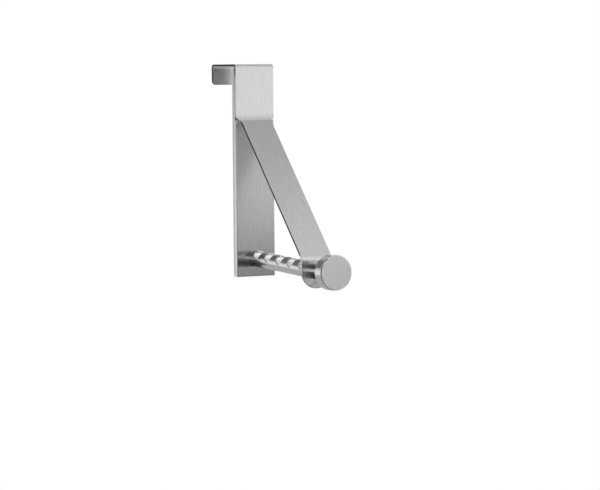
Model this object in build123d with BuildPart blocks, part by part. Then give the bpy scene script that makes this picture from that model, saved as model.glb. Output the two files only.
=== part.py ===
"""Over-door hook: a folded steel strap on a back plate, with a notched rod and an end knob.

Millimetres. X runs across the strap, -Y is the front and +Z is up. The origin is at the middle of
the door's top front edge: the strap lies on the door at Z = 0, and the door's front face is Y = 0.
"""

import os
from math import cos, radians, sin, sqrt, tan

from build123d import *

# Door that the hook hangs on
door_gap = 40.0

# Strap, folded from one strip of sheet
strap_width = 42.0
sheet = 2.0
lip_drop = 18.0
lip_corner = 4.0
door_bend = 3.5
strut_width = 33.0
strut_lean = 42.25
strut_root = -49.3
reach = 119.0
root_bend = 12.0
foot_bend = 8.0
shoulder_round = 6.0

# Plate behind the strap, and the soft pad between it and the door
plate_thick = 4.0
plate_bottom = -204.5
plate_edge = 0.4
pad_thick = 3.0
pad_inset = 0.5
pad_end_round = 2.5
pad_side_round = 0.8
top_gap = 2.5
bend_clearance = 0.3

# Round bar from the plate to the strap's tab, with a row of notches
rod_diameter = 16.0
rod_fall = 3.0
rod_front_height = -193.0
notch_count = 5
notch_first = 12.7
notch_pitch = 22.0
notch_radius = 5.5
notch_floor = 0.8
notch_chamfer = 0.7

# Knob: neck and disc turned from one bar
neck_diameter = 16.0
neck_length = 24.5
knob_diameter = 33.5
knob_thick = 12.0
knob_front_chamfer = 1.0
knob_back_chamfer = 0.5

# Hidden fasteners, with plain threads
thread_diameter = 6.0
hole_clearance = 0.2
head_diameter = 11.6
screw_in_rod = 6.5
stud_in_rod = 8.5
stud_in_knob = 12.0
drill_beyond = 0.6
thread_chamfer = 0.6
hex_across = 4.0
hex_depth = 1.8

# Planes and heights worked out from the sizes above
face_y = -(pad_thick + plate_thick)
rebate_y = face_y + sheet
plate_back_y = -pad_thick
tab_y = face_y - reach
tab_back_y = tab_y + sheet
strap_back_y = door_gap + sheet
strut_foot = strut_root - reach / tan(radians(strut_lean))
tab_round = strut_width / 2
tab_bottom = rod_front_height - tab_round
rod_back_height = rod_front_height + (reach - sheet) * tan(radians(rod_fall))

# The strap's back leaves the plate's rebate along an arc, and the rebate ends where that arc is out
bend_start = strut_root + root_bend * tan(radians(strut_lean / 2))
bend_drop = sqrt((root_bend + sheet) ** 2 - root_bend**2)
rebate_bottom = bend_start - bend_drop - bend_clearance

thread_radius = thread_diameter / 2


def facing_back(y, height):
    """Plane square to the rod's end faces, looking towards the door."""
    return Plane(origin=(0, y, height), x_dir=(1, 0, 0), z_dir=(0, 1, 0))


def facing_front(y, height):
    """Plane square to the rod's end faces, looking away from the door."""
    return Plane(origin=(0, y, height), x_dir=(1, 0, 0), z_dir=(0, -1, 0))


def turning_plane(y, height):
    """Half section of a turned piece: local X runs to the front, local Y is the radius."""
    return Plane(origin=(0, y, height), x_dir=(0, -1, 0), z_dir=(-1, 0, 0))


def turning_axis(height):
    return Axis((0, 0, height), (0, -1, 0))


# Strap: the folded section is drawn from the lip, over the door, down the front and out along the
# strut to the tab, then extruded across the width and trimmed to the strip's outline
with BuildPart() as door_strap:
    with BuildSketch(Plane.YZ):
        with BuildLine():
            FilletPolyline(
                (strap_back_y, -lip_drop),
                (strap_back_y, sheet),
                (face_y, sheet),
                (face_y, strut_root),
                (tab_y, strut_foot),
                (tab_y, tab_bottom),
                radius=[door_bend, door_bend, root_bend, foot_bend],
            )
            offset(amount=sheet, side=Side.LEFT)
        make_face()
    extrude(amount=strap_width / 2, both=True)
    lip_edges = door_strap.edges().filter_by(Axis.Y).filter_by(lambda e: abs(e.center().Z + lip_drop) < 0.1)
    fillet(lip_edges, radius=lip_corner)

    # Outline from the front: full width, rounded shoulders below the bend, half-round end
    with BuildSketch(Plane.XZ):
        with BuildLine():
            shoulder_drop = (strap_width - strut_width) / 2
            FilletPolyline(
                (0, sheet),
                (strap_width / 2, sheet),
                (strap_width / 2, strut_root),
                (strut_width / 2, strut_root - shoulder_drop),
                (strut_width / 2, rod_front_height),
                radius=[0, shoulder_round, shoulder_round],
            )
            CenterArc((0, rod_front_height), tab_round, 0, -90)
            mirror(about=Plane.YZ)
        make_face()
    extrude(amount=-tab_y + sheet, both=True, mode=Mode.INTERSECT)

    with Locations(facing_front(tab_y, rod_front_height)):
        Hole(radius=thread_radius + hole_clearance, depth=2 * sheet)
door_strap.part.label = "door_strap"


# Back plate: a flat bar, stepped back at the top so that the strap's leg lies flush with its face
with BuildPart() as back_plate:
    with BuildSketch(Plane.YZ):
        with BuildLine():
            Polyline(
                (face_y, plate_bottom),
                (face_y, rebate_bottom),
                (rebate_y, rebate_bottom),
                (rebate_y, -top_gap),
                (plate_back_y, -top_gap),
                (plate_back_y, plate_bottom),
                close=True,
            )
        make_face()
    extrude(amount=strap_width / 2, both=True)
    face_edges = back_plate.faces().sort_by(Axis.Y)[0].edges()
    fillet(face_edges.sort_by(Axis.Z)[:-1], radius=plate_edge)

    with Locations(facing_back(plate_back_y, rod_back_height)):
        CounterSinkHole(
            radius=thread_radius + hole_clearance,
            counter_sink_radius=head_diameter / 2,
            counter_sink_angle=90,
        )
back_plate.part.label = "back_plate"


# Pad: a soft strip on the plate's back, with rounded ends towards the door
with BuildPart() as back_pad:
    with BuildSketch(Plane.YZ):
        with BuildLine():
            FilletPolyline(
                (plate_back_y, -top_gap),
                (plate_back_y, plate_bottom + pad_inset),
                (0, plate_bottom + pad_inset),
                (0, -top_gap),
                (plate_back_y, -top_gap),
                radius=[0, 0, pad_end_round, pad_end_round],
            )
        make_face()
    extrude(amount=strap_width / 2, both=True)
    door_side = back_pad.faces().sort_by(Axis.Y)[-1]
    fillet(door_side.edges().filter_by(Axis.Z), radius=pad_side_round)
back_pad.part.label = "back_pad"


# Rod: a round bar falling to the front, cut parallel to plate and tab, with U-shaped notches on top
fall = radians(rod_fall)
rod_along = (0, -cos(fall), -sin(fall))
rod_start = Plane(origin=(0, face_y, rod_back_height), x_dir=(1, 0, 0), z_dir=rod_along)
rod_side = Plane(origin=(0, face_y, rod_back_height), x_dir=rod_along, z_dir=(-1, 0, 0))
notch_places = [
    (notch_first + step * notch_pitch, notch_floor + notch_radius) for step in range(notch_count)
]

with BuildPart() as notched_rod:
    with BuildSketch(rod_start.offset(-rod_diameter)):
        Circle(rod_diameter / 2)
    extrude(amount=reach + 2 * rod_diameter)
    with BuildSketch(rod_side):
        with Locations(notch_places):
            Circle(notch_radius)
            Rectangle(2 * notch_radius, rod_diameter, align=(Align.CENTER, Align.MIN))
    extrude(amount=rod_diameter, both=True, mode=Mode.SUBTRACT)
    notch_rims = notched_rod.edges(Select.LAST).filter_by(lambda e: e.geom_type != GeomType.LINE)
    chamfer(notch_rims, length=notch_chamfer)
    split(bisect_by=Plane.XZ.offset(-face_y), keep=Keep.TOP)
    split(bisect_by=Plane.XZ.offset(-tab_back_y), keep=Keep.BOTTOM)
    with Locations(facing_front(face_y, rod_back_height)):
        Cylinder(
            thread_radius,
            screw_in_rod + drill_beyond,
            align=(Align.CENTER, Align.CENTER, Align.MIN),
            mode=Mode.SUBTRACT,
        )
    with Locations(facing_back(tab_back_y, rod_front_height)):
        Cylinder(
            thread_radius,
            stud_in_rod + drill_beyond,
            align=(Align.CENTER, Align.CENTER, Align.MIN),
            mode=Mode.SUBTRACT,
        )
notched_rod.part.label = "notched_rod"


# Knob: the neck stands on the tab and carries a thick disc
with BuildPart() as end_knob:
    with BuildSketch(turning_plane(tab_y, rod_front_height)):
        with BuildLine():
            knob_end = neck_length + knob_thick
            Polyline(
                (0, 0),
                (0, neck_diameter / 2),
                (neck_length, neck_diameter / 2),
                (neck_length, knob_diameter / 2 - knob_back_chamfer),
                (neck_length + knob_back_chamfer, knob_diameter / 2),
                (knob_end - knob_front_chamfer, knob_diameter / 2),
                (knob_end, knob_diameter / 2 - knob_front_chamfer),
                (knob_end, 0),
                close=True,
            )
        make_face()
    revolve(axis=turning_axis(rod_front_height))
    with Locations(facing_front(tab_y, rod_front_height)):
        Cylinder(
            thread_radius,
            stud_in_knob + drill_beyond,
            align=(Align.CENTER, Align.CENTER, Align.MIN),
            mode=Mode.SUBTRACT,
        )
end_knob.part.label = "end_knob"


# Stud: joins knob and rod through the tab's hole
with BuildPart() as knob_stud:
    with BuildSketch(facing_front(tab_back_y + stud_in_rod, rod_front_height)):
        Circle(thread_radius)
    extrude(amount=stud_in_rod + sheet + stud_in_knob)
    chamfer(knob_stud.edges().filter_by(GeomType.CIRCLE), length=thread_chamfer)
knob_stud.part.label = "knob_stud"


# Screw: countersunk, from the plate's back into the rod, with a hexagon socket
with BuildPart() as rod_screw:
    with BuildSketch(turning_plane(plate_back_y, rod_back_height)):
        with BuildLine():
            screw_end = plate_thick + screw_in_rod
            head_radius = head_diameter / 2
            Polyline(
                (0, 0),
                (0, head_radius),
                (head_radius - thread_radius, thread_radius),
                (screw_end - thread_chamfer, thread_radius),
                (screw_end, thread_radius - thread_chamfer),
                (screw_end, 0),
                close=True,
            )
        make_face()
    revolve(axis=turning_axis(rod_back_height))
    with BuildSketch(facing_front(plate_back_y, rod_back_height)):
        RegularPolygon(hex_across / 2, 6, major_radius=False)
    extrude(amount=hex_depth, mode=Mode.SUBTRACT)
rod_screw.part.label = "rod_screw"


os.makedirs("parts", exist_ok=True)
export_step(door_strap.part, "parts/door_strap.step")
export_step(back_plate.part, "parts/back_plate.step")
export_step(back_pad.part, "parts/back_pad.step")
export_step(notched_rod.part, "parts/notched_rod.step")
export_step(end_knob.part, "parts/end_knob.step")
export_step(knob_stud.part, "parts/knob_stud.step")
export_step(rod_screw.part, "parts/rod_screw.step")
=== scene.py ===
"""Over-door hook: the finished looks of its strap, plate, pad, notched rod and knob.

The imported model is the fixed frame. Each piece is made again as a fine mesh in the place that the frame
gives it, in metres: X across the strap, -Y to the front, +Z up, with the origin on the door's top edge.
Every mesh carries a UV map named grain, in metres, whose V runs along the brushing.
"""

import math

import bmesh
import bpy
from bpy.props import FloatProperty, FloatVectorProperty, IntProperty, PointerProperty
from mathutils import Matrix, Vector


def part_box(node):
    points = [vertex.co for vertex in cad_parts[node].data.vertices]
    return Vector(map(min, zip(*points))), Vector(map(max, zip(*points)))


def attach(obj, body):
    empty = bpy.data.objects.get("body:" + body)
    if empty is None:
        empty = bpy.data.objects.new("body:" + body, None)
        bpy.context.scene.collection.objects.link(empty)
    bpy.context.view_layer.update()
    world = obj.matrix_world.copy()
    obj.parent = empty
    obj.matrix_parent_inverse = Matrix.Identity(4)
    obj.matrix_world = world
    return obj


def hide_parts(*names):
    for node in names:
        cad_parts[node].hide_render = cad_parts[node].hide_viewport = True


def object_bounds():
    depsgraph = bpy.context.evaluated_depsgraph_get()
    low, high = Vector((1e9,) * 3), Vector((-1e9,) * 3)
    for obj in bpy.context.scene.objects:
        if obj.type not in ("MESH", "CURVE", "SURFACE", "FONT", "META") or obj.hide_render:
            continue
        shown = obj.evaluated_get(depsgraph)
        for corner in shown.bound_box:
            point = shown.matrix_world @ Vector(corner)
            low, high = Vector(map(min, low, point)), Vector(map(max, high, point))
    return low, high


bl_info = {
    "name": "Over-Door Hook",
    "version": (1, 0, 0),
    "blender": (4, 5, 0),
    "location": "View3D > Sidebar > Door Hook",
    "description": "Builds an over-door hook with a notched rod, its finishes and its studio",
    "category": "Add Mesh",
}

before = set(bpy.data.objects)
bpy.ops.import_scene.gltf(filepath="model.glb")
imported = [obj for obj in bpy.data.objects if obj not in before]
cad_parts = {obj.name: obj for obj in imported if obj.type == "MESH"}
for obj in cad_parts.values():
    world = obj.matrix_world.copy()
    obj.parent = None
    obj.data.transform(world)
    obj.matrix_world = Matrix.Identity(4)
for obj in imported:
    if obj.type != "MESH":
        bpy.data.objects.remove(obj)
cad_low, cad_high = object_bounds()

strap_low, strap_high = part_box("door_strap")
plate_low, plate_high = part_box("back_plate")
pad_low, pad_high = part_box("back_pad")
rod_low, rod_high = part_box("notched_rod")
knob_low, knob_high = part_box("end_knob")

GRAIN = "grain"
BODY = "root"

# Least turn of a sharp edge, largest step round a bend, turn of the strap's shoulders, least turn
# of the plate's corners, and how near in metres counts as the same place
SHARP_ANGLE = math.radians(30)
BEND_STEP = math.radians(3)
SHOULDER_TURN = math.radians(45)
BROKEN_CORNER = math.radians(60)
NEAR = 1e-6


def size_in_metres(name, description, default):
    """A length that a user may change."""
    return FloatProperty(
        name=name,
        description=description,
        default=default,
        min=0.0,
        precision=5,
        subtype="DISTANCE",
        unit="LENGTH",
    )


def turn_in_radians(name, description, degrees):
    """An angle that a user may change."""
    return FloatProperty(
        name=name,
        description=description,
        default=math.radians(degrees),
        subtype="ANGLE",
        unit="ROTATION",
    )


def metal_colour(name, description, default):
    """A colour that a user may change."""
    return FloatVectorProperty(
        name=name,
        description=description,
        default=default,
        min=0.0,
        max=1.0,
        size=3,
        subtype="COLOR",
    )


class StrapSizes(bpy.types.PropertyGroup):
    sheet: size_in_metres("Sheet", "Thickness of the strap's sheet", strap_high.z)
    strut_width: size_in_metres("Strut Width", "Width of the strut and the tab", 0.033)
    lean: turn_in_radians("Strut Lean", "Angle between the strut and the upright", 42.25)
    root: size_in_metres("Strut Root", "Depth below the door's top where the strut bends out", 0.0493)
    door_bend: size_in_metres("Door Bend", "Outer radius of the two bends over the door", 0.0035)
    root_bend: size_in_metres("Root Bend", "Radius of the bend where the strut leaves", 0.012)
    foot_bend: size_in_metres("Foot Bend", "Outer radius of the bend above the tab", 0.008)
    shoulder: size_in_metres("Shoulder", "Radius of the rounded shoulders", 0.006)
    lip_drop: size_in_metres("Lip Drop", "How far the lip reaches down behind the door", 0.018)
    lip_corner: size_in_metres("Lip Corner", "Radius of the lip's corners behind the door", 0.004)
    broken_edge: size_in_metres("Broken Edge", "Radius of the deburred edges", 0.00025)


class PlateSizes(bpy.types.PropertyGroup):
    rebate: size_in_metres("Rebate", "Depth of the step that takes the strap's leg", strap_high.z)
    rebate_bottom: size_in_metres("Rebate Bottom", "Depth below the door's top where the step ends", 0.05217)
    front_edge: size_in_metres("Front Edge", "Radius of the edges round the face", 0.0007)
    back_edge: size_in_metres("Back Edge", "Radius of the other edges", 0.00012)


class PadSizes(bpy.types.PropertyGroup):
    end_round: size_in_metres("End Round", "Radius of the pad's ends towards the door", 0.0025)
    side_round: size_in_metres("Side Round", "Radius of the pad's long edges", 0.0008)


class RodSizes(bpy.types.PropertyGroup):
    fall: turn_in_radians("Fall", "How far the rod slopes down to the front", 3.0)
    notch_count: IntProperty(name="Notches", description="Number of notches", default=5, min=1, max=5)
    first: size_in_metres("First Notch", "Distance from the plate to the first notch", 0.0127)
    pitch: size_in_metres("Pitch", "Distance from one notch to the next", 0.022)
    radius: size_in_metres("Notch Radius", "Radius of the notch's round floor", 0.0055)
    floor: size_in_metres("Notch Floor", "Height of the notch's floor above the rod's axis", 0.0008)
    chamfer: size_in_metres("Notch Chamfer", "Width of the chamfer round each notch", 0.0007)


class KnobSizes(bpy.types.PropertyGroup):
    neck: size_in_metres("Neck", "Diameter of the neck", 0.016)
    disc: size_in_metres("Disc", "Thickness of the disc", 0.012)
    front_chamfer: size_in_metres("Front Chamfer", "Chamfer round the disc's face", 0.001)
    back_chamfer: size_in_metres("Back Chamfer", "Chamfer behind the disc", 0.0005)
    broken_edge: size_in_metres("Broken Edge", "Radius of the turned corners", 0.00015)
    grain_turn: turn_in_radians("Grain Turn", "Direction of the brushing on the face", 35.0)


class FastenerSizes(bpy.types.PropertyGroup):
    thread: size_in_metres("Thread", "Diameter of the stud and the screw", 0.006)
    clearance: size_in_metres("Clearance", "Room round the thread in the sheet", 0.0002)
    head: size_in_metres("Head", "Diameter of the countersunk head", 0.0116)
    screw_bore: size_in_metres("Screw Bore", "Depth of the screw's hole in the rod", 0.0071)
    stud_bore: size_in_metres("Stud Bore", "Depth of the stud's hole in the rod", 0.0091)
    knob_bore: size_in_metres("Knob Bore", "Depth of the stud's hole in the knob", 0.0126)


class Finishes(bpy.types.PropertyGroup):
    strap: metal_colour("Strap", "Steel of the folded strap", (0.69, 0.68, 0.672))
    plate: metal_colour("Plate", "Face of the back plate", (0.48, 0.474, 0.468))
    edge: metal_colour("Ground Edge", "Ground edges of the strap and the plate", (0.7, 0.692, 0.685))
    # Dark colour painted on the strap's edge as shade over the door and along the strut
    painted_shade_edge: metal_colour("Painted Shade on Edge", "Colour of painted shade on the strap's edge", (0.07, 0.069, 0.068))
    bar: metal_colour("Bar", "Steel of the rod and the knob", (0.68, 0.672, 0.665))
    knob: metal_colour("Knob Face", "Face of the knob", (0.77, 0.762, 0.755))
    cut: metal_colour("Cut Steel", "Milled notches", (0.9, 0.895, 0.89))
    pad: metal_colour("Pad", "Soft pad behind the plate", (0.38, 0.38, 0.375))
    fastener: metal_colour("Fastener", "Screw and stud", (0.55, 0.55, 0.55))


class Studio(bpy.types.PropertyGroup):
    azimuth: turn_in_radians("Azimuth", "Camera's turn round the hook", -29.5)
    elevation: turn_in_radians("Elevation", "Camera's height above level", 3.26)
    roll: turn_in_radians("Roll", "Camera's roll", 0.53)
    distance: size_in_metres("Distance", "Camera's distance", 3.0)
    aim_right: size_in_metres("Aim Right", "How far right of the door's edge the camera stands", 0.04281)
    aim_down: size_in_metres("Aim Down", "How far below the door's edge the camera stands", 0.17603)
    lens: FloatProperty(name="Lens", description="Focal length in millimetres", default=185.4, min=1.0)
    tent_radius: size_in_metres("Tent Radius", "Radius of the tent that the steel reflects", 0.7)
    floor_drop: size_in_metres("Floor Drop", "Floor's depth below the door's top", 0.85)
    floor_radius: size_in_metres("Floor Radius", "Radius of the pale floor", 0.9)


class HookSettings(bpy.types.PropertyGroup):
    strap: PointerProperty(type=StrapSizes)
    plate: PointerProperty(type=PlateSizes)
    pad: PointerProperty(type=PadSizes)
    rod: PointerProperty(type=RodSizes)
    knob: PointerProperty(type=KnobSizes)
    fastener: PointerProperty(type=FastenerSizes)
    finish: PointerProperty(type=Finishes)
    studio: PointerProperty(type=Studio)


def skin(bm, rows, grain, closed=True, material=0):
    """Faces between rows of vertices. grain(row, column) gives the UV. A row of one vertex is a pole."""
    layer = bm.loops.layers.uv.get(GRAIN) or bm.loops.layers.uv.new(GRAIN)
    for i, (near, far) in enumerate(zip(rows, rows[1:])):
        count = max(len(near), len(far))
        for j in range(count if closed else count - 1):
            corners = []
            for row, column in ((i, j), (i, j + 1), (i + 1, j + 1), (i + 1, j)):
                vert = rows[row][column % len(rows[row])]
                if vert not in [v for v, _ in corners]:
                    corners.append((vert, (row, column)))
            if len(corners) < 3:
                continue
            face = bm.faces.new([v for v, _ in corners])
            face.material_index = material
            face.smooth = True
            for loop, (_, place) in zip(face.loops, corners):
                loop[layer].uv = grain(*place)


def add_object(name, data):
    item = bpy.data.objects.new(name, data)
    bpy.context.scene.collection.objects.link(item)
    return item


def new_piece(name, bm, materials):
    """A mesh object from bm, with its faces turned outwards."""
    bmesh.ops.recalc_face_normals(bm, faces=bm.faces[:])
    mesh = bpy.data.meshes.new(name)
    bm.to_mesh(mesh)
    bm.free()
    for material in materials:
        mesh.materials.append(material)
    return add_object(name, mesh)


def make_plain(piece):
    """Turns the piece and its modifiers into one plain mesh."""
    graph = bpy.context.evaluated_depsgraph_get()
    mesh = bpy.data.meshes.new_from_object(
        piece.evaluated_get(graph), preserve_all_data_layers=True, depsgraph=graph
    )
    mesh.name = piece.name
    piece.modifiers.clear()
    piece.data = mesh


def shade(piece):
    """Smooth shading between the sharp edges, with the flat faces kept flat."""
    piece.data.shade_smooth()
    piece.data.set_sharp_from_angle(angle=SHARP_ANGLE)
    flatten = piece.modifiers.new("flat faces", "WEIGHTED_NORMAL")
    flatten.keep_sharp = True
    make_plain(piece)


def bore(piece, profile, centre, axis, segments=48):
    """Takes a turned shape out of the piece. profile holds (distance along the axis, radius)."""
    bm = bmesh.new()
    rows = lathe_rows(bm, profile, centre, axis, segments)
    skin(bm, rows, lambda row, column: (profile[row][0], column / segments))
    cutter = new_piece("cutter", bm, piece.data.materials[:])
    cut = piece.modifiers.new("bore", "BOOLEAN")
    cut.operation = "DIFFERENCE"
    cut.solver = "EXACT"
    cut.object = cutter
    make_plain(piece)
    bpy.data.objects.remove(cutter)


def lathe_rows(bm, profile, centre, axis, segments):
    """Rings of vertices for a turned shape round a level axis that runs along Y."""
    rows = []
    for along, radius in profile:
        middle = Vector(centre) + Vector(axis) * along
        if radius == 0.0:
            rows.append([bm.verts.new(middle)])
            continue
        ring = []
        for step in range(segments):
            angle = 2 * math.pi * step / segments
            ring.append(bm.verts.new(middle + Vector((math.cos(angle), 0, math.sin(angle))) * radius))
        rows.append(ring)
    return rows


def rounded(points, radii, steps=4):
    """The points of an open outline, with an arc of the given radius in place of each inner corner."""
    out = [Vector(points[0])]
    for before, corner, after, radius in zip(points, points[1:], points[2:], radii):
        corner = Vector(corner)
        back = (Vector(before) - corner).normalized()
        ahead = (Vector(after) - corner).normalized()
        half = back.angle(ahead) / 2
        if radius == 0.0:
            out.append(corner)
            continue
        middle = corner + (back + ahead).normalized() * (radius / math.sin(half))
        start = corner + back * (radius / math.tan(half)) - middle
        end = corner + ahead * (radius / math.tan(half)) - middle
        turn = start.angle(end)
        for step in range(steps + 1):
            share = step / steps
            part = start * math.sin((1 - share) * turn) + end * math.sin(share * turn)
            out.append(middle + part / math.sin(turn))
    out.append(Vector(points[-1]))
    return out


def distances(points):
    """How far along the outline each point lies."""
    out = [0.0]
    for near, far in zip(points, points[1:]):
        out.append(out[-1] + (Vector(far) - Vector(near)).length)
    return out


def place_in_frame(piece, node):
    """The piece stands for its node of the frame."""
    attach(piece, BODY)
    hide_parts(node)


# Nodes


def connect(tree, node, inputs):
    """Sets each named input of the node to a value, or links it to a socket."""
    for name, value in inputs.items():
        if isinstance(value, bpy.types.NodeSocket):
            tree.links.new(value, node.inputs[name])
        else:
            node.inputs[name].default_value = value


def add_node(tree, kind, inputs=None, **settings):
    """A new node with its settings made and its inputs connected."""
    node = tree.nodes.new(kind)
    for name, value in settings.items():
        setattr(node, name, value)
    connect(tree, node, inputs or {})
    return node


def calculate(tree, operation, first, second=0.0):
    return add_node(tree, "ShaderNodeMath", {0: first, 1: second}, operation=operation).outputs[0]


def vector_math(tree, operation, inputs):
    return add_node(tree, "ShaderNodeVectorMath", inputs, operation=operation).outputs


def parts_of(tree, vector):
    """The vector's X, Y and Z sockets."""
    return add_node(tree, "ShaderNodeSeparateXYZ", {"Vector": vector}).outputs


def object_place(tree):
    return add_node(tree, "ShaderNodeTexCoord").outputs["Object"]


def soft_edge(tree, value, start, end):
    """0 at start and 1 at end, with a smooth step between."""
    ends = {"Value": value, "From Min": start, "From Max": end}
    return add_node(tree, "ShaderNodeMapRange", ends, interpolation_type="SMOOTHSTEP").outputs["Result"]


def mix_values(tree, factor, first, second):
    return add_node(tree, "ShaderNodeMix", {"Factor": factor, "A": first, "B": second}).outputs["Result"]


def mix_colours(tree, factor, first, second):
    mix = add_node(tree, "ShaderNodeMix", {"Factor": factor, 6: first, 7: second}, data_type="RGBA")
    return mix.outputs[2]


def mix_shaders(tree, factor, first, second):
    """Makes the mix of two shaders the material's surface."""
    mix = add_node(tree, "ShaderNodeMixShader", {"Fac": factor, 1: first, 2: second})
    tree.links.new(mix.outputs[0], tree.nodes["Material Output"].inputs["Surface"])


# Strap


class Fold:
    """The strap's section as straight runs and bends, measured along its outer face from the lip."""

    def __init__(self, corners, radii):
        self.parts = []
        self.length = 0.0
        start = Vector(corners[0])
        for before, corner, after, radius in zip(corners, corners[1:], corners[2:], radii):
            ahead = (Vector(corner) - Vector(before)).normalized()
            beyond = (Vector(after) - Vector(corner)).normalized()
            turn = math.atan2(ahead.x * beyond.y - ahead.y * beyond.x, ahead.dot(beyond))
            setback = radius * math.tan(abs(turn) / 2)
            end = Vector(corner) - ahead * setback
            self.add((end - start).length, start, ahead, 0.0)
            self.add(radius * abs(turn), end, ahead, math.copysign(1 / radius, turn))
            start = Vector(corner) + beyond * setback
        self.add((Vector(corners[-1]) - start).length, start, beyond, 0.0)

    def add(self, length, start, heading, curve):
        self.parts.append((self.length, length, start, heading, curve))
        self.length += length

    def place(self, along, depth=0.0):
        """(Y, Z) at a distance along the outer face, depth below it."""
        part = next((p for p in self.parts if along <= p[0] + p[1]), self.parts[-1])
        begin, _, start, heading, curve = part
        inward = Vector((-heading.y, heading.x))
        if curve == 0.0:
            return start + heading * (along - begin) + inward * depth
        turn = curve * (along - begin)
        moved = inward * ((1 - math.cos(turn)) / curve) + heading * (math.sin(turn) / curve)
        turned = inward * math.cos(turn) - heading * math.sin(turn)
        return start + moved + turned * depth

    def stations(self):
        """Distances where the section starts, ends or bends."""
        out = [0.0]
        for begin, length, _, _, curve in self.parts:
            steps = max(1, math.ceil(abs(curve) * length / BEND_STEP))
            out += [begin + length * (step + 1) / steps for step in range(steps)]
        return out


# Steps across and along the strip, and how far below the root bend its shoulder ends
STRIP_COLUMNS = 12
LIP_CORNER_STEPS = 8
SHOULDER_STEPS = 40
TIP_STEPS = 30
BELOW_BEND = 0.007


def strap_fold(sizes):
    """The folded section: lip, over the door, leg, strut and tab."""
    face = plate_low.y
    reach = face - strap_low.y
    foot = -sizes.root - reach / math.tan(sizes.lean)
    corners = [
        (strap_high.y, -sizes.lip_drop),
        (strap_high.y, sizes.sheet),
        (face, sizes.sheet),
        (face, -sizes.root),
        (strap_low.y, foot),
        (strap_low.y, strap_low.z),
    ]
    return Fold(corners, [sizes.door_bend, sizes.door_bend, sizes.root_bend, sizes.foot_bend])


def half_width(sizes, height):
    """Half the strap's width at a height in front of the door: full, through the shoulder, to the strut."""
    wide = strap_high.x
    slim = sizes.strut_width / 2
    radius = sizes.shoulder
    setback = radius * math.tan(SHOULDER_TURN / 2)
    upper = -sizes.root + setback
    lower = -sizes.root - (wide - slim) - setback
    diagonal = setback * math.cos(SHOULDER_TURN)
    if height >= upper:
        return wide
    if height <= lower:
        return slim
    if height > -sizes.root - diagonal:
        return wide - radius + math.sqrt(radius**2 - (height - upper) ** 2)
    if height < lower + setback + diagonal:
        return slim + radius - math.sqrt(radius**2 - (height - lower) ** 2)
    return wide + sizes.root + height


def quarter_round(centre, radius, first_angle, steps):
    """(Place, outward direction) along a quarter circle of the flat strip, from an angle in degrees."""
    out = []
    for step in range(steps + 1):
        angle = math.radians(first_angle + 90 * step / steps)
        spoke = Vector((math.cos(angle), math.sin(angle)))
        out.append((Vector(centre) + spoke * radius, spoke))
    return out


def strap_outline(sizes, fold):
    """The right side of the flat strip, from the lip's end to the tab's tip.

    Each point holds its (X, distance) and its outward direction.
    """
    corner = sizes.lip_corner
    tip = sizes.strut_width / 2
    side_end = fold.length - tip
    out = quarter_round((strap_high.x - corner, corner), corner, -90, LIP_CORNER_STEPS)
    start, bend, *_ = next(part for part in fold.parts if part[4] < 0)
    shoulder = bend + BELOW_BEND
    fine = [start + shoulder * step / SHOULDER_STEPS for step in range(SHOULDER_STEPS + 1)]
    stations = sorted(s for s in fold.stations() + fine if corner < s < side_end)
    nudge = 1e-5
    for along in stations:
        if along - out[-1][0].y < nudge:
            continue
        front = fold.place(along).x < 0
        width = half_width(sizes, fold.place(along).y) if front else strap_high.x
        ahead = half_width(sizes, fold.place(along + nudge).y) if front else width
        out.append((Vector((width, along)), Vector((1.0, (width - ahead) / nudge)).normalized()))
    return out + quarter_round((0, side_end), tip, 0, TIP_STEPS)


def edge_rings(radius, thickness, steps=3):
    """(Inset, depth) from the outer face's rim, over both broken edges, to the inner face's rim."""
    outer = []
    for step in range(steps + 1):
        angle = math.pi / 2 * step / steps
        outer.append((radius * (1 - math.sin(angle)), radius * (1 - math.cos(angle))))
    return outer + [(inset, thickness - depth) for inset, depth in reversed(outer)]


def build_strap(sizes, fasteners, materials):
    fold = strap_fold(sizes)
    side = strap_outline(sizes, fold)
    last = len(side) - 1
    loop = side + [(Vector((-p.x, p.y)), Vector((-n.x, n.y))) for p, n in reversed(side[:-1])]
    start = side[0][0].x
    for column in range(1, STRIP_COLUMNS):
        loop.append((Vector((start * (2 * column / STRIP_COLUMNS - 1), 0)), Vector((0, -1))))

    bm = bmesh.new()
    flat = {}

    def put(spot, depth):
        """A vertex at a place of the flat strip, depth below its outer face."""
        section = fold.place(spot.y, depth)
        vert = bm.verts.new((spot.x, section.x, section.y))
        flat[vert] = spot
        return vert

    # Edge all round, from the outer face's rim to the inner face's
    rings = edge_rings(sizes.broken_edge, sizes.sheet)
    rows = [[put(place - outward * inset, depth) for place, outward in loop] for inset, depth in rings]
    along = distances([p for p, _ in loop] + [loop[0][0]])
    across = distances([Vector(ring) for ring in rings])
    skin(bm, rows, lambda row, column: (across[row], along[column]), material=1)

    # Outer and inner face, in strips from the left rim to the right
    for ring, depth in ((rows[0], rings[0][1]), (rows[-1], rings[-1][1])):
        strips = [ring[2 * last :] + [ring[0]]]
        for i in range(1, last):
            left, right = ring[2 * last - i], ring[i]
            inner = []
            for column in range(1, STRIP_COLUMNS):
                inner.append(put(flat[left].lerp(flat[right], column / STRIP_COLUMNS), depth))
            strips.append([left, *inner, right])
        strips.append([ring[last]])
        spots = [[flat[vert] for vert in strip] for strip in strips]

        def grain(row, column, spots=spots):
            return spots[row][min(column, len(spots[row]) - 1)]

        skin(bm, strips, grain, closed=False)
    strap = new_piece("folded_strap", bm, materials)
    hole = fasteners.thread / 2 + fasteners.clearance
    through = 4 * sizes.sheet
    centre = Vector((0, strap_low.y - sizes.sheet, (knob_low.z + knob_high.z) / 2))
    bore(strap, [(0, 0.0), (0, hole), (through, hole), (through, 0.0)], centre, (0, 1, 0))
    shade(strap)
    return strap


# Plate and pad


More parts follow.
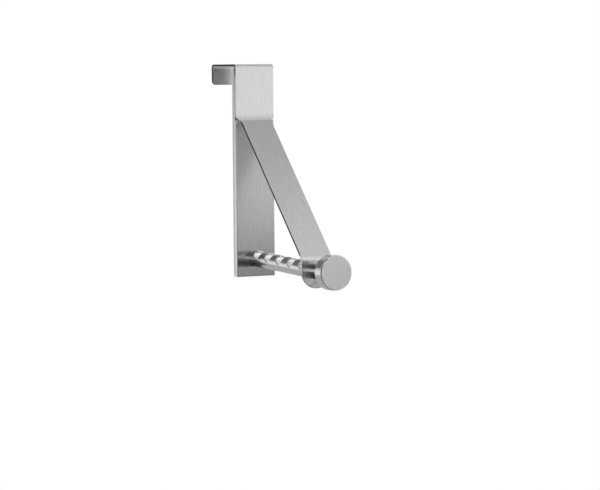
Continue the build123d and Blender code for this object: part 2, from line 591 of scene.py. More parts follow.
def box_grain(bm):
    """Lays the grain up the plate's faces and across its ends."""
    layer = bm.loops.layers.uv.get(GRAIN) or bm.loops.layers.uv.new(GRAIN)
    for face in bm.faces:
        normal = face.normal
        for loop in face.loops:
            x, y, z = loop.vert.co
            if abs(normal.z) > max(abs(normal.x), abs(normal.y)):
                loop[layer].uv = (y, x)
            elif abs(normal.x) > abs(normal.y):
                loop[layer].uv = (y, z)
            else:
                loop[layer].uv = (x, z)


def extruded(bm, section, half):
    """A bar whose (Y, Z) section runs from -half to +half in X."""
    left = [bm.verts.new((-half, y, z)) for y, z in section]
    right = [bm.verts.new((half, y, z)) for y, z in section]
    bm.faces.new(left)
    bm.faces.new(reversed(right))
    count = len(section)
    for i in range(count):
        j = (i + 1) % count
        bm.faces.new((left[j], left[i], right[i], right[j]))
    bmesh.ops.recalc_face_normals(bm, faces=bm.faces[:])


def round_edges(bm, edges, radius, segments):
    quarter = {"profile": 0.5, "affect": "EDGES", "clamp_overlap": True}
    bmesh.ops.bevel(bm, geom=edges, offset=radius, segments=segments, **quarter)


def build_plate(sizes, fasteners, materials):
    face = plate_low.y
    section = [
        (face, plate_low.z),
        (face, -sizes.rebate_bottom),
        (face + sizes.rebate, -sizes.rebate_bottom),
        (face + sizes.rebate, plate_high.z),
        (plate_high.y, plate_high.z),
        (plate_high.y, plate_low.z),
    ]
    bm = bmesh.new()
    extruded(bm, section, plate_high.x)

    def on_face(edge):
        return all(abs(v.co.y - face) < NEAR for v in edge.verts)

    def below_rebate(edge):
        return min(v.co.z for v in edge.verts) < -sizes.rebate_bottom - NEAR

    front = [e for e in bm.edges if on_face(e) and below_rebate(e)]
    round_edges(bm, front, sizes.front_edge, segments=4)
    rest = [e for e in bm.edges if e.calc_face_angle(0) > BROKEN_CORNER]
    round_edges(bm, rest, sizes.back_edge, segments=2)
    bm.normal_update()
    box_grain(bm)
    for side in bm.faces:
        side.material_index = 1 if abs(side.normal.y) < 0.5 else 0
    plate = new_piece("steel_plate", bm, materials)
    hole = fasteners.thread / 2 + fasteners.clearance
    head = fasteners.head / 2
    beyond = 0.001
    centre = Vector((0, plate_high.y, rod_axis_height()[0]))
    profile = [
        (-beyond, 0.0),
        (-beyond, head + beyond),
        (head - hole, hole),
        (plate_high.y - face + beyond, hole),
        (plate_high.y - face + beyond, 0.0),
    ]
    bore(plate, profile, centre, (0, -1, 0))
    shade(plate)
    return plate


def build_pad(sizes, materials):
    bm = bmesh.new()
    outline = rounded(
        [
            (plate_high.y, pad_high.z),
            (plate_high.y, pad_low.z),
            (pad_high.y, pad_low.z),
            (pad_high.y, pad_high.z),
            (plate_high.y, pad_high.z),
        ],
        [0.0, sizes.end_round, sizes.end_round],
        steps=8,
    )
    extruded(bm, [(p.x, p.y) for p in outline[:-1]], pad_high.x)
    door_side = [
        e
        for e in bm.edges
        if all(v.co.y > plate_high.y + NEAR for v in e.verts)
        and all(abs(abs(v.co.x) - pad_high.x) < NEAR for v in e.verts)
    ]
    round_edges(bm, door_side, sizes.side_round, segments=4)
    bm.normal_update()
    box_grain(bm)
    pad = new_piece("soft_pad", bm, materials)
    shade(pad)
    return pad


# Rod


def rod_axis_height():
    """Heights of the rod's axis at the plate and at the tab."""
    fall = bpy.context.scene.door_hook.rod.fall
    rise = rod_high.x / math.cos(fall)
    return rod_high.z - rise, rod_low.z + rise


# Steps along a notch's wall, round its floor, from its rim to the cell's border, and across it
WALL_STEPS = 20
FLOOR_STEPS = 68
BORDER_STEPS = 8
ACROSS_STEPS = 8

# How near in metres the cell's vertices are merged, and the material's place of its milled faces
MERGED = 1e-7
MILLED = 1


def notch_side(sizes, bar):
    """One side of a notch's rim, as places on the bar and in the notch.

    Each place holds (along, round) on the unrolled bar at the chamfer's outer line, and (down, across) in
    the unrolled notch at its inner line, where down runs from the bar's top, round the floor, to its top.
    """
    radius, cut = sizes.radius, sizes.chamfer
    middle = sizes.floor + radius
    wall_angle = math.acos(middle / bar)
    wall = bar - middle
    whole = 2 * wall + math.pi * radius
    left = []
    for step in range(WALL_STEPS):
        angle = wall_angle * step / WALL_STEPS
        outer = Vector((-radius - cut, bar * angle))
        inner = Vector((bar - (bar - cut) * math.cos(angle), (bar - cut) * math.sin(angle)))
        left.append((outer, inner))
    floor = []
    for step in range(FLOOR_STEPS + 1):
        turn = math.pi * step / FLOOR_STEPS
        angle = math.acos((middle - radius * math.sin(turn)) / bar)
        on_bar = Vector((-radius * math.cos(turn), bar * angle))
        in_notch = Vector((wall + radius * turn, bar * math.sin(angle)))
        away = Vector((-math.cos(turn) / math.sin(angle), math.sin(turn))).normalized()
        inward = Vector((math.cos(turn) / math.tan(angle), -1.0)).normalized()
        floor.append((on_bar + away * cut, in_notch + inward * cut))
    right = [(Vector((-o.x, o.y)), Vector((whole - i.x, i.y))) for o, i in reversed(left)]
    return left + floor + right


def notch_place(sizes, bar, down, across):
    """A point in the notch's unrolled surface, as (along, across, up)."""
    middle = sizes.floor + sizes.radius
    wall = bar - middle
    whole = 2 * wall + math.pi * sizes.radius
    if down < wall:
        return Vector((-sizes.radius, across, bar - down))
    if down > whole - wall:
        return Vector((sizes.radius, across, bar - (whole - down)))
    turn = (down - wall) / sizes.radius
    return Vector((-sizes.radius * math.cos(turn), across, middle - sizes.radius * math.sin(turn)))


def on_bar(bar, along, round_it):
    """A point on the bar, round_it from its top line, as (along, across, up)."""
    return Vector((along, bar * math.sin(round_it / bar), bar * math.cos(round_it / bar)))


def build_notch_cell(sizes, bar, materials):
    """One pitch of the bar with a notch in its middle. Its notch faces carry the attribute milled."""
    rim = notch_side(sizes, bar)
    third = (len(rim) - 1) // 3
    half = sizes.pitch / 2
    belly = math.pi * bar
    border = []
    for step in range(len(rim)):
        if step <= third:
            border.append(Vector((-half, belly * step / third)))
        elif step <= 2 * third:
            border.append(Vector((-half + sizes.pitch * (step - third) / third, belly)))
        else:
            border.append(Vector((half, belly * (3 * third - step) / third)))
    bm = bmesh.new()
    for side in (1, -1):
        rows = []
        flat = []
        for ring in range(BORDER_STEPS + 1):
            spots = [r[0].lerp(b, ring / BORDER_STEPS) for r, b in zip(rim, border)]
            places = [on_bar(bar, s.x, s.y * side) for s in spots]
            rows.append([bm.verts.new(p) for p in places])
            flat.append([(s.x, s.y * side) for s in spots])
        skin(bm, rows, lambda row, column, flat=flat: flat[row][column], closed=False)
        inner = []
        for _, spot in rim:
            inner.append(bm.verts.new(notch_place(sizes, bar, spot.x, spot.y * side)))
        run = distances([r[0] for r in rim])
        skin(bm, [rows[0], inner], lambda row, column: (row * sizes.chamfer, run[column]), False, MILLED)
    rows = []
    flat = []
    for _, spot in rim:
        shares = [2 * column / ACROSS_STEPS - 1 for column in range(ACROSS_STEPS + 1)]
        if spot.y < MERGED:
            shares = [0.0]
        rows.append([bm.verts.new(notch_place(sizes, bar, spot.x, spot.y * s)) for s in shares])
        flat.append([(spot.x, spot.y * s) for s in shares])
    skin(bm, rows, lambda row, column: flat[row][min(column, len(flat[row]) - 1)], False, MILLED)
    bmesh.ops.remove_doubles(bm, verts=bm.verts[:], dist=MERGED)
    milled = bm.faces.layers.bool.new("milled")
    for face in bm.faces:
        face[milled] = face.material_index == MILLED
    return new_piece("notch_cell", bm, materials)


def rod_matrix(fall, height):
    """From the bar's own frame (along, across, up) to the row frame."""
    along = Vector((0, -math.cos(fall), -math.sin(fall)))
    up = Vector((0, -math.sin(fall), math.cos(fall)))
    matrix = Matrix((along, Vector((1, 0, 0)), up)).transposed().to_4x4()
    matrix.translation = (0, plate_low.y, height)
    return matrix


def build_rod_ends(sizes, fasteners, bar, segments, materials):
    """The bar's ends, cut parallel to plate and tab, each with a blind bore on a level axis."""
    back_height, front_height = rod_axis_height()
    matrix = rod_matrix(sizes.fall, back_height)
    to_bar = matrix.inverted()
    length = plate_low.y - rod_low.y
    start = sizes.first - sizes.pitch / 2
    end = start + sizes.pitch * sizes.notch_count
    bore_radius = fasteners.thread / 2
    bm = bmesh.new()
    ends = (
        (start, 0.0, plate_low.y, back_height, -fasteners.screw_bore),
        (end, length, rod_low.y, front_height, fasteners.stud_bore),
    )
    for near, cut, face, height, depth in ends:
        spokes = []
        for step in range(segments):
            angle = 2 * math.pi * step / segments
            spokes.append(Vector((math.sin(angle), math.cos(angle))))
        outer = [bm.verts.new((near, bar * s.x, bar * s.y)) for s in spokes]
        rim = []
        for spoke in spokes:
            along = (cut - bar * spoke.y * math.sin(sizes.fall)) / math.cos(sizes.fall)
            rim.append(bm.verts.new((along, bar * spoke.x, bar * spoke.y)))
        mouth, floor = [], []
        for spoke in spokes:
            ring = Vector((bore_radius * spoke.x, face, height + bore_radius * spoke.y))
            mouth.append(bm.verts.new(to_bar @ ring))
            floor.append(bm.verts.new(to_bar @ (ring + Vector((0, depth, 0)))))
        pole = [bm.verts.new(to_bar @ Vector((0, face + depth, height)))]
        reach = [0.0] + [abs(near - cut) + bar * step for step in range(4)]
        turn = 2 * math.pi * bar / segments
        skin(bm, [outer, rim, mouth, floor, pole], lambda row, column: (reach[row], turn * column))
    return new_piece("notched_bar", bm, materials)


def notch_row_tree():
    """Geometry Nodes: copies of one notch cell in a row, welded to the bar's ends, with both finishes."""
    tree = bpy.data.node_groups.new("Row of Notches", "GeometryNodeTree")
    sockets = {}
    for name, kind in (
        ("Ends", "Geometry"),
        ("Notch Cell", "Object"),
        ("Notches", "Int"),
        ("First Notch", "Float"),
        ("Pitch", "Float"),
        ("Weld", "Float"),
        ("Bar Finish", "Material"),
        ("Notch Finish", "Material"),
    ):
        socket = tree.interface.new_socket(name, in_out="INPUT", socket_type="NodeSocket" + kind)
        sockets[name] = socket.identifier
    tree.interface.new_socket("Bar", in_out="OUTPUT", socket_type="NodeSocketGeometry")

    def add(kind, inputs, **settings):
        """The first output of a new node."""
        return add_node(tree, kind, inputs, **settings).outputs[0]

    given = add_node(tree, "NodeGroupInput").outputs
    start = add("ShaderNodeCombineXYZ", {"X": given["First Notch"]})
    step = add("ShaderNodeCombineXYZ", {"X": given["Pitch"]})
    places = {"Count": given["Notches"], "Start Location": start, "Offset": step}
    row = add("GeometryNodeMeshLine", places)
    cell = add_node(tree, "GeometryNodeObjectInfo", {"Object": given["Notch Cell"]}).outputs["Geometry"]
    copies = add("GeometryNodeInstanceOnPoints", {"Points": row, "Instance": cell})
    join = add_node(tree, "GeometryNodeJoinGeometry")
    tree.links.new(copies, join.inputs["Geometry"])
    tree.links.new(given["Ends"], join.inputs["Geometry"])
    real = add("GeometryNodeRealizeInstances", {"Geometry": join.outputs["Geometry"]})
    welded = add("GeometryNodeMergeByDistance", {"Geometry": real, "Distance": given["Weld"]})
    bar = add("GeometryNodeSetMaterial", {"Geometry": welded, "Material": given["Bar Finish"]})
    milled = add("GeometryNodeInputNamedAttribute", {"Name": "milled"}, data_type="BOOLEAN")
    finish = {"Geometry": bar, "Selection": milled, "Material": given["Notch Finish"]}
    add_node(tree, "NodeGroupOutput", {"Bar": add("GeometryNodeSetMaterial", finish)})
    return tree, sockets


def build_rod(sizes, fasteners, materials):
    bar = rod_high.x
    cell = build_notch_cell(sizes, bar, materials)
    segments = 2 * (len(notch_side(sizes, bar)) - 1) // 3
    rod = build_rod_ends(sizes, fasteners, bar, segments, materials)
    tree, sockets = notch_row_tree()
    row = rod.modifiers.new("row of notches", "NODES")
    row.node_group = tree
    for name, value in (
        ("Notch Cell", cell),
        ("Notches", sizes.notch_count),
        ("First Notch", sizes.first),
        ("Pitch", sizes.pitch),
        ("Weld", NEAR),
        ("Bar Finish", materials[0]),
        ("Notch Finish", materials[1]),
    ):
        row[sockets[name]] = value
    make_plain(rod)
    bpy.data.objects.remove(cell)
    bm = bmesh.new()
    bm.from_mesh(rod.data)
    bm.transform(rod_matrix(sizes.fall, rod_axis_height()[0]))
    bmesh.ops.recalc_face_normals(bm, faces=bm.faces[:])
    bm.to_mesh(rod.data)
    bm.free()
    shade(rod)
    return rod


# Knob


# Steps round the knob, and the rings of its face as shares of the radius
KNOB_STEPS = 144
FACE_RINGS = (0.8, 0.6, 0.4, 0.2)


def build_knob(sizes, fasteners, materials):
    radius = knob_high.x
    neck = sizes.neck / 2
    length = knob_high.y - knob_low.y
    back = length - sizes.disc
    bore_radius = fasteners.thread / 2
    corner = sizes.broken_edge
    outline = rounded(
        [
            (fasteners.knob_bore, 0.0),
            (fasteners.knob_bore, bore_radius),
            (0.0, bore_radius),
            (0.0, neck),
            (back, neck),
            (back, radius - sizes.back_chamfer),
            (back + sizes.back_chamfer, radius),
            (length - sizes.front_chamfer, radius),
            (length, radius - sizes.front_chamfer),
            (length, 0.0),
        ],
        [0.0, 0.0, corner, 0.0, corner, corner, corner, corner],
        steps=4,
    )
    profile = [(p.x, max(p.y, 0.0)) for p in outline]
    rim = profile[-2][1]
    face_rings = [(length, rim * share) for share in FACE_RINGS]
    profile = profile[:-1] + face_rings + [(length, 0.0)]
    run = distances([Vector(p) for p in profile])
    face_start = len(profile) - 2 - len(face_rings)
    bm = bmesh.new()
    centre = Vector((0, knob_high.y, (knob_low.z + knob_high.z) / 2))
    rows = lathe_rows(bm, profile, centre, (0, -1, 0), KNOB_STEPS)

    def side_grain(row, column):
        return run[row], 2 * math.pi * radius * column / KNOB_STEPS

    def face_grain(row, column):
        angle = 2 * math.pi * column / KNOB_STEPS + sizes.grain_turn
        reach = profile[face_start + row][1]
        return reach * math.cos(angle), reach * math.sin(angle)

    skin(bm, rows[: face_start + 1], side_grain)
    skin(bm, rows[face_start:], face_grain, material=1)
    knob = new_piece("turned_knob", bm, materials)
    shade(knob)
    return knob


# Finishes


# Noise cycles a metre across the brushing, along it, and through the sheet
FINE_GRAIN = (5200.0, 90.0, 1.0)
BROAD_GRAIN = (1000.0, 55.0, 1.0)

# Most of a noise pattern's values lie between these
NOISE_RANGE = (0.3, 0.7)

# Brushing: change in colour and in roughness, height of the scratches and strength of their bump
STREAKS = 0.075
ROUGHNESS_CHANGE = 0.035
SCRATCH_DEPTH = 0.000004
SCRATCH_STRENGTH = 0.4

# Foam: cells and clouds a metre, depth of a cell and strength of its bump, change in colour
FOAM_CELLS = 1900.0
FOAM_CLOUDS = (160.0, 160.0, 160.0)
CELL_DEPTH = 0.0001
CELL_STRENGTH = 0.5
FOAM_CHANGE = 0.08

# Screw and stud: rings a metre along their axis, change in colour, least and most roughness
TURNED_RINGS = (60.0, 3000.0, 60.0)
RING_CHANGE = 0.05
RING_ROUGHNESS = (0.28, 0.4)

# The strap's edge keeps its bright colour this near to its leg and its tab, and below this height; elsewhere
# it is darkened with painted shade
UNSHADED_REACH = (0.0022, 0.0036)
PAINTED_SHADE_HEIGHT = (-0.012, -0.005)


def new_material(name):
    material = bpy.data.materials.new(name)
    material.use_nodes = True
    tree = material.node_tree
    return material, tree, tree.nodes["Principled BSDF"]


def noise(tree, vector, scale, detail, roughness=0.5):
    """A noise pattern, stretched by scale on each axis, as one value from 0 to 1."""
    place = add_node(tree, "ShaderNodeMapping", {"Vector": vector, "Scale": scale}).outputs["Vector"]
    pattern = {"Vector": place, "Scale": 1.0, "Detail": detail, "Roughness": roughness}
    return add_node(tree, "ShaderNodeTexNoise", pattern).outputs["Fac"]


def spread(tree, value, low, high):
    """Moves a pattern's middle range to the range from low to high."""
    least, most = NOISE_RANGE
    ends = {"Value": value, "From Min": least, "From Max": most, "To Min": low, "To Max": high}
    return add_node(tree, "ShaderNodeMapRange", ends).outputs["Result"]


def tint(tree, value, colour, change):
    """The colour, a little darker and lighter along a pattern."""
    darker = [c * (1 - change) for c in colour] + [1.0]
    lighter = [min(1.0, c * (1 + change)) for c in colour] + [1.0]
    return mix_colours(tree, spread(tree, value, 0.0, 1.0), darker, lighter)


def bump(tree, height, depth, strength):
    relief = {"Height": height, "Distance": depth, "Strength": strength}
    return add_node(tree, "ShaderNodeBump", relief).outputs["Normal"]


def brushed_steel(name, colour, roughness, anisotropy):
    """Steel with straight brush lines along the map's V, whose gloss spreads across them."""
    material, tree, shader = new_material(name)
    grain = add_node(tree, "ShaderNodeUVMap", uv_map=GRAIN).outputs["UV"]
    tangent = add_node(tree, "ShaderNodeTangent", direction_type="UV_MAP", uv_map=GRAIN).outputs["Tangent"]
    fine = noise(tree, grain, FINE_GRAIN, detail=2.0)
    broad = noise(tree, grain, BROAD_GRAIN, detail=4.0, roughness=0.6)
    both = mix_values(tree, 0.5, fine, broad)
    finish = {
        "Metallic": 1.0,
        "Anisotropic": anisotropy,
        "Tangent": tangent,
        "Base Color": tint(tree, broad, colour, STREAKS),
        "Roughness": spread(tree, both, roughness - ROUGHNESS_CHANGE, roughness + ROUGHNESS_CHANGE),
        "Normal": bump(tree, fine, SCRATCH_DEPTH, SCRATCH_STRENGTH),
    }
    connect(tree, shader, finish)
    return material


def paint_edge_shade(material, colour):
    """Paints shade on the strap's edge: dark over the door, on the lip and along the strut, left bright near
    the leg and the tab.
    """
    tree = material.node_tree
    base = tree.nodes["Principled BSDF"].inputs["Base Color"]
    place = parts_of(tree, object_place(tree))
    from_leg, from_tab = (
        calculate(tree, "ABSOLUTE", calculate(tree, "SUBTRACT", place["Y"], face))
        for face in (plate_low.y, strap_low.y)
    )
    away = soft_edge(tree, calculate(tree, "MINIMUM", from_leg, from_tab), *UNSHADED_REACH)
    # Painted shade: full away from the leg and the tab, and over the door's top
    painted_shade_mask = calculate(tree, "MAXIMUM", away, soft_edge(tree, place["Z"], *PAINTED_SHADE_HEIGHT))
    tree.links.new(mix_colours(tree, painted_shade_mask, base.links[0].from_socket, [*colour, 1.0]), base)


def soft_foam(name, colour):
    """Closed-cell foam: matt, with small cells and a little uneven in shade."""
    material, tree, shader = new_material(name)
    place = object_place(tree)
    cells = add_node(tree, "ShaderNodeTexVoronoi", {"Vector": place, "Scale": FOAM_CELLS})
    clouds = noise(tree, place, FOAM_CLOUDS, detail=4.0, roughness=0.6)
    finish = {
        "Roughness": 0.85,
        "Specular IOR Level": 0.3,
        "Base Color": tint(tree, clouds, colour, FOAM_CHANGE),
        "Normal": bump(tree, cells.outputs["Distance"], CELL_DEPTH, CELL_STRENGTH),
    }
    connect(tree, shader, finish)
    return material


def fastener_steel(colour):
    """Plain turned steel for the screw and the stud, with fine rings round their axis."""
    material, tree, shader = new_material("fastener steel")
    rings = noise(tree, object_place(tree), TURNED_RINGS, detail=2.0)
    finish = {
        "Metallic": 1.0,
        "Base Color": tint(tree, rings, colour, RING_CHANGE),
        "Roughness": spread(tree, rings, *RING_ROUGHNESS),
    }
    connect(tree, shader, finish)
    return material


# Studio


# Strength of the even light on what is matt, and of the tent's cloth
EVEN_LIGHT = 0.75
TENT_SHADE = 0.05

# Lamp: azimuth and elevation in degrees, distance and side in metres, watts
SOFT_LAMP = (-70.0, 35.0, 1.3, 1.0, 12.0)

# Share of the floor's radius where it starts to fade
FLOOR_FADE = 0.4

# How clear the tent is, from 0 for dark cloth to 1 for none, and the patches laid over it in order:
# azimuth, elevation, half width, half height, fade at the sides, fade above and below, how clear.
# All but the last are degrees. Azimuth 0 is the front and 90 the right.
TENT_CLEAR = 0.5
TENT_PATCHES = (
    (0.0, 90.0, 200.0, 35.0, 1.0, 40.0, 0.75),
    (0.0, -90.0, 200.0, 35.0, 1.0, 30.0, 0.38),
    (-13.0, 17.0, 15.0, 10.5, 6.0, 3.0, 0.0),
    (-1.0, -33.0, 31.0, 17.5, 6.0, 3.0, 0.0),
    (33.0, -11.5, 8.0, 3.5, 7.0, 3.0, 0.0),
    (-59.0, -5.0, 4.5, 62.0, 6.0, 10.0, 0.0),
    (-78.0, 53.0, 58.0, 4.5, 8.0, 4.5, 0.2),
    (-130.0, 67.0, 25.0, 7.0, 12.0, 5.0, 0.0),
    (180.0, 30.0, 45.0, 14.0, 15.0, 8.0, 0.0),
    (60.5, 20.5, 38.5, 22.5, 8.0, 15.0, 1.0),
    (62.0, 49.0, 10.0, 8.0, 34.0, 30.0, 0.73),
    (100.0, 70.0, 17.0, 12.0, 22.0, 8.0, 0.45),
    (132.0, 28.0, 14.0, 26.0, 10.0, 14.0, 0.8),
    (190.0, -6.0, 60.0, 8.0, 15.0, 12.0, 1.0),
    (190.0, 22.0, 25.0, 8.0, 15.0, 20.0, 0.16),
    (-8.0, -5.5, 30.0, 6.5, 6.0, 2.5, 1.0),
    (180.0, -36.0, 60.0, 10.0, 30.0, 14.0, 0.5),
    (98.0, -60.0, 33.0, 18.0, 14.0, 12.0, 1.0),
    (160.0, -64.0, 16.0, 8.0, 10.0, 5.0, 0.0),
)


def direction(azimuth, elevation):
    """Unit direction for angles in radians: azimuth 0 is the front and a quarter turn the right."""
    level = math.cos(elevation)
    return Vector((math.sin(azimuth) * level, -math.cos(azimuth) * level, math.sin(elevation)))


def lay_patch(tree, outward, rise, patch, around):
    """How clear the tent is after one soft-edged patch is laid over what is around it."""
    *angles, clear = patch
    azimuth, elevation, width, height, side_fade, level_fade = (math.radians(angle) for angle in angles)
    turned = add_node(
        tree, "ShaderNodeVectorRotate", {"Vector": outward, "Angle": -azimuth}, rotation_type="Z_AXIS"
    )
    place = parts_of(tree, turned.outputs["Vector"])
    front = calculate(tree, "MULTIPLY", place["Y"], -1.0)
    across = calculate(tree, "ABSOLUTE", calculate(tree, "ARCTAN2", place["X"], front))
    above = calculate(tree, "ABSOLUTE", calculate(tree, "SUBTRACT", rise, elevation))
    in_width = soft_edge(tree, across, width + side_fade, width)
    in_height = soft_edge(tree, above, height + level_fade, height)
    return mix_values(tree, calculate(tree, "MULTIPLY", in_width, in_height), around, clear)


def build_tent(sizes):
    """A half-clear tent that only reflections see, with soft patches that are clearer or darker."""
    bm = bmesh.new()
    bmesh.ops.create_uvsphere(bm, u_segments=64, v_segments=32, radius=sizes.tent_radius)
    middle = (cad_low + cad_high) / 2
    bmesh.ops.translate(bm, verts=bm.verts[:], vec=middle)
    material, tree, shader = new_material("studio tent")
    tree.nodes.remove(shader)
    material.cycles.emission_sampling = "NONE"
    from_middle = vector_math(tree, "SUBTRACT", {0: object_place(tree), 1: middle})[0]
    outward = vector_math(tree, "NORMALIZE", {0: from_middle})[0]
    rise = calculate(tree, "ARCSINE", parts_of(tree, outward)["Z"])
    clear = TENT_CLEAR
    for patch in TENT_PATCHES:
        clear = lay_patch(tree, outward, rise, patch, clear)
    cloth = add_node(tree, "ShaderNodeEmission", {"Strength": TENT_SHADE})
    mix_shaders(tree, clear, cloth.outputs[0], add_node(tree, "ShaderNodeBsdfTransparent").outputs[0])
    tent = new_piece("tent", bm, [material])
    tent.visible_camera = False
    tent.visible_diffuse = False
    tent.visible_transmission = False
    tent.visible_shadow = False


def build_white_world():
    """White all round for the camera, for gloss and for glass, and an even light on what is matt."""
    world = bpy.data.worlds.new("white studio")
    bpy.context.scene.world = world
    world.use_nodes = True
    tree = world.node_tree
    ray = add_node(tree, "ShaderNodeLightPath").outputs
    seen = calculate(tree, "MAXIMUM", ray["Is Camera Ray"], ray["Is Transmission Ray"])
    seen = calculate(tree, "MAXIMUM", seen, ray["Is Glossy Ray"])
    strength = add_node(tree, "ShaderNodeMapRange", {"Value": seen, "To Min": EVEN_LIGHT})
    white = {"Color": (1, 1, 1, 1), "Strength": strength.outputs["Result"]}
    connect(tree, tree.nodes["Background"], white)


def build_soft_lamp():
    """One broad lamp from the upper left, for the shape of what is matt and for the shadow on the floor."""
    azimuth, elevation, distance, size, power = SOFT_LAMP
    data = bpy.data.lights.new("soft lamp", "AREA")
    data.shape = "SQUARE"
    data.size = size
    data.energy = power
    lamp = add_object("soft lamp", data)
    outward = direction(math.radians(azimuth), math.radians(elevation))
    lamp.matrix_world = outward.to_track_quat("Z", "Y").to_matrix().to_4x4()
    lamp.location = (cad_low + cad_high) / 2 + outward * distance
    lamp.visible_glossy = False


def build_floor(sizes):
    """A pale round floor that fades out at its rim and can't be seen from below."""
    bm = bmesh.new()
    bmesh.ops.create_circle(bm, cap_ends=True, segments=96, radius=sizes.floor_radius)
    bmesh.ops.translate(bm, verts=bm.verts[:], vec=(0, 0, -sizes.floor_drop))
    material, tree, shader = new_material("pale floor")
    connect(tree, shader, {"Base Color": (0.9, 0.9, 0.9, 1), "Roughness": 0.9})
    level = vector_math(tree, "MULTIPLY", {0: object_place(tree), 1: (1, 1, 0)})[0]
    far = vector_math(tree, "LENGTH", {0: level})["Value"]
    fade = soft_edge(tree, far, sizes.floor_radius * FLOOR_FADE, sizes.floor_radius)
    below = add_node(tree, "ShaderNodeNewGeometry").outputs["Backfacing"]
    clear = add_node(tree, "ShaderNodeBsdfTransparent").outputs[0]
    mix_shaders(tree, calculate(tree, "MAXIMUM", fade, below), shader.outputs[0], clear)
    new_piece("floor", bm, [material])


def build_camera(sizes):
    """The photograph's viewing angle: round, above and rolled, aimed beside and below the door's edge."""
    turn, roll = sizes.azimuth, sizes.roll
    back = direction(turn, sizes.elevation)
    right = Vector((math.cos(turn), math.sin(turn), 0))
    up = back.cross(right)
    door_edge = Vector((0, plate_low.y, strap_high.z))
    data = bpy.data.cameras.new("camera")
    data.lens = sizes.lens
    data.sensor_width = 36.0
    data.clip_start = 0.1
    data.clip_end = 20.0
    camera = add_object("camera", data)
    rolled_right = right * math.cos(roll) - up * math.sin(roll)
    rolled_up = right * math.sin(roll) + up * math.cos(roll)
    matrix = Matrix((rolled_right, rolled_up, back)).transposed().to_4x4()
    matrix.translation = door_edge + right * sizes.aim_right - up * sizes.aim_down + back * sizes.distance
    camera.matrix_world = matrix
    bpy.context.scene.camera = camera


def settings():
    return bpy.context.scene.door_hook


class HOOK_OT_strap(bpy.types.Operator):
    """Fold the strap over the door and down to its tab"""

    bl_idname = "door_hook.strap"
    bl_label = "Folded Strap"

    def execute(self, context):
        hook = settings()
        face = brushed_steel("brushed strap", hook.finish.strap, roughness=0.17, anisotropy=0.9)
        edge = brushed_steel("cut edge", hook.finish.edge, roughness=0.36, anisotropy=0.98)
        # The strap's edge gets painted shade over the door and along the strut
        paint_edge_shade(edge, hook.finish.painted_shade_edge)
        strap = build_strap(hook.strap, hook.fastener, [face, edge])
        place_in_frame(strap, "door_strap")
        return {"FINISHED"}


class HOOK_OT_plate(bpy.types.Operator):
    """Make the back plate with its rebate"""

    bl_idname = "door_hook.plate"
    bl_label = "Back Plate"

    def execute(self, context):
        hook = settings()
        face = brushed_steel("brushed plate", hook.finish.plate, roughness=0.2, anisotropy=0.9)
        edge = brushed_steel("ground edge", hook.finish.edge, roughness=0.3, anisotropy=0.9)
        plate = build_plate(hook.plate, hook.fastener, [face, edge])
        place_in_frame(plate, "back_plate")
        return {"FINISHED"}


class HOOK_OT_pad(bpy.types.Operator):
    """Make the soft pad behind the plate"""

    bl_idname = "door_hook.pad"
    bl_label = "Soft Pad"

    def execute(self, context):
        hook = settings()
        pad = build_pad(hook.pad, [soft_foam("pad foam", hook.finish.pad)])
        place_in_frame(pad, "back_pad")
        return {"FINISHED"}


class HOOK_OT_rod(bpy.types.Operator):
    """Make the bar with its row of notches"""

    bl_idname = "door_hook.rod"
    bl_label = "Notched Rod"

    def execute(self, context):
        hook = settings()
        bar = brushed_steel("satin bar", hook.finish.bar, roughness=0.16, anisotropy=0.7)
        milled = brushed_steel("milled notch", hook.finish.cut, roughness=0.2, anisotropy=0.5)
        rod = build_rod(hook.rod, hook.fastener, [bar, milled])
        place_in_frame(rod, "notched_rod")
        return {"FINISHED"}


class HOOK_OT_knob(bpy.types.Operator):
    """Turn the knob with its neck"""

    bl_idname = "door_hook.knob"
    bl_label = "End Knob"

    def execute(self, context):
        hook = settings()
        turned = brushed_steel("turned steel", hook.finish.bar, roughness=0.16, anisotropy=0.7)
        face = brushed_steel("brushed face", hook.finish.knob, roughness=0.3, anisotropy=0.8)
        knob = build_knob(hook.knob, hook.fastener, [turned, face])
        place_in_frame(knob, "end_knob")
        return {"FINISHED"}


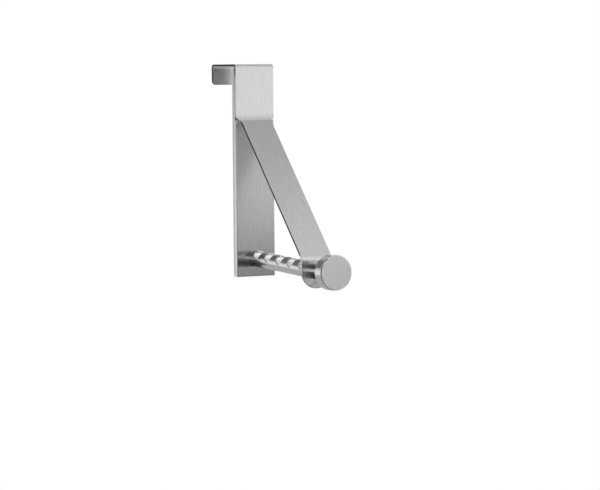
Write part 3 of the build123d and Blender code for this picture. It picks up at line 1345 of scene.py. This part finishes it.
class HOOK_OT_fasteners(bpy.types.Operator):
    """Give the screw and the stud their finish"""

    bl_idname = "door_hook.fasteners"
    bl_label = "Screw and Stud"

    def execute(self, context):
        steel = fastener_steel(settings().finish.fastener)
        for node in ("rod_screw", "knob_stud"):
            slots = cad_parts[node].data.materials
            slots.clear()
            slots.append(steel)
        return {"FINISHED"}


class HOOK_OT_studio(bpy.types.Operator):
    """Set the camera, the white world, the tent, the soft lamp and the pale floor"""

    bl_idname = "door_hook.studio"
    bl_label = "Studio"

    def execute(self, context):
        build_camera(settings().studio)
        build_white_world()
        build_tent(settings().studio)
        build_soft_lamp()
        build_floor(settings().studio)
        context.scene.view_settings.view_transform = "Standard"
        return {"FINISHED"}


OPERATORS = (
    (HOOK_OT_strap, "strap"),
    (HOOK_OT_plate, "plate"),
    (HOOK_OT_pad, "pad"),
    (HOOK_OT_rod, "rod"),
    (HOOK_OT_knob, "knob"),
    (HOOK_OT_fasteners, "fastener"),
    (HOOK_OT_studio, "studio"),
)


class HOOK_PT_panel(bpy.types.Panel):
    """Lists the hook's pieces with their sizes"""

    bl_idname = "HOOK_PT_panel"
    bl_label = "Over-Door Hook"
    bl_space_type = "VIEW_3D"
    bl_region_type = "UI"
    bl_category = "Door Hook"

    def draw(self, context):
        hook = context.scene.door_hook
        for operator, group in OPERATORS:
            box = self.layout.box()
            box.operator(operator.bl_idname)
            sizes = getattr(hook, group)
            for name in sizes.__annotations__:
                box.prop(sizes, name)
        box = self.layout.box()
        for name in Finishes.__annotations__:
            box.prop(hook.finish, name)


CLASSES = (
    StrapSizes,
    PlateSizes,
    PadSizes,
    RodSizes,
    KnobSizes,
    FastenerSizes,
    Finishes,
    Studio,
    HookSettings,
    *(operator for operator, _ in OPERATORS),
    HOOK_PT_panel,
)


def register():
    for item in CLASSES:
        bpy.utils.register_class(item)
    bpy.types.Scene.door_hook = PointerProperty(type=HookSettings)


def unregister():
    del bpy.types.Scene.door_hook
    for item in reversed(CLASSES):
        bpy.utils.unregister_class(item)


def main():
    register()
    bpy.ops.door_hook.strap()
    bpy.ops.door_hook.plate()
    bpy.ops.door_hook.pad()
    bpy.ops.door_hook.rod()
    bpy.ops.door_hook.knob()
    bpy.ops.door_hook.fasteners()
    bpy.ops.door_hook.studio()


if __name__ == "__main__":
    main()
